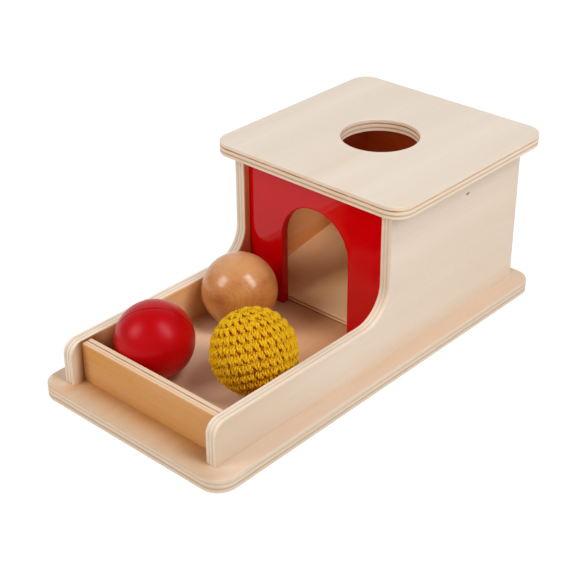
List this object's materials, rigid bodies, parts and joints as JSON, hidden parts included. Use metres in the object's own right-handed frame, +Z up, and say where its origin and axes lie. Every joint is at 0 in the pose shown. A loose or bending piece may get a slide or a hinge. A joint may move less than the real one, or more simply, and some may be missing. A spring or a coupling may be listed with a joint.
{
  "type": "object permanence box",
  "caption": "Plywood toy with a ball hole in its lid, a ramp inside, a red arched doorway and a walled tray that holds loose wooden, plastic and crochet balls.",
  "frame": {"origin": "centre of the base plate's underside", "axes": "+Z up, +Y from the tray's front rail towards the house, +X to the right when the doorway is seen from the tray"},
  "size_m": [0.141, 0.281, 0.107],
  "materials": {
    "ply": "sanded plywood, clear matt lacquer",
    "red_lacquer": "gloss red lacquer on board",
    "zinc_steel": "zinc plated",
    "dowel_wood": "plain turned hardwood",
    "varnished_wood": "clear gloss varnish",
    "red_plastic": "satin moulded plastic",
    "yellow_yarn": "single crochet in cotton yarn",
    "wadding": "loose fibre wadding"
  },
  "bodies": {
    "box": {"base_plate": "ply", "left_side_panel": "ply", "right_side_panel": "ply", "front_panel": "red_lacquer", "back_panel": "ply", "top_plate": "ply", "front_rail": "ply", "ramp": "ply", "ramp_cleat": "ply", "base_screws": "zinc_steel", "lid_dowels": "dowel_wood", "rail_dowels": "dowel_wood"},
    "wooden_ball": {"wooden_ball": "varnished_wood"},
    "red_ball": {"red_ball_front_half": "red_plastic", "red_ball_rear_half": "red_plastic"},
    "crochet_ball": {"crochet_cover": "yellow_yarn", "crochet_stuffing": "wadding"}
  },
  "joints": [
    {"name": "wooden_ball_lift", "type": "slide", "parent": "box", "child": "wooden_ball", "axis": [0, -0.2, 0.9798], "range_m": [0, 0.11]},
    {"name": "red_ball_lift", "type": "slide", "parent": "box", "child": "red_ball", "axis": [0, 0, 1], "range_m": [0, 0.11]},
    {"name": "crochet_ball_lift", "type": "slide", "parent": "box", "child": "crochet_ball", "axis": [0, 0, 1], "range_m": [0, 0.11]}
  ]
}
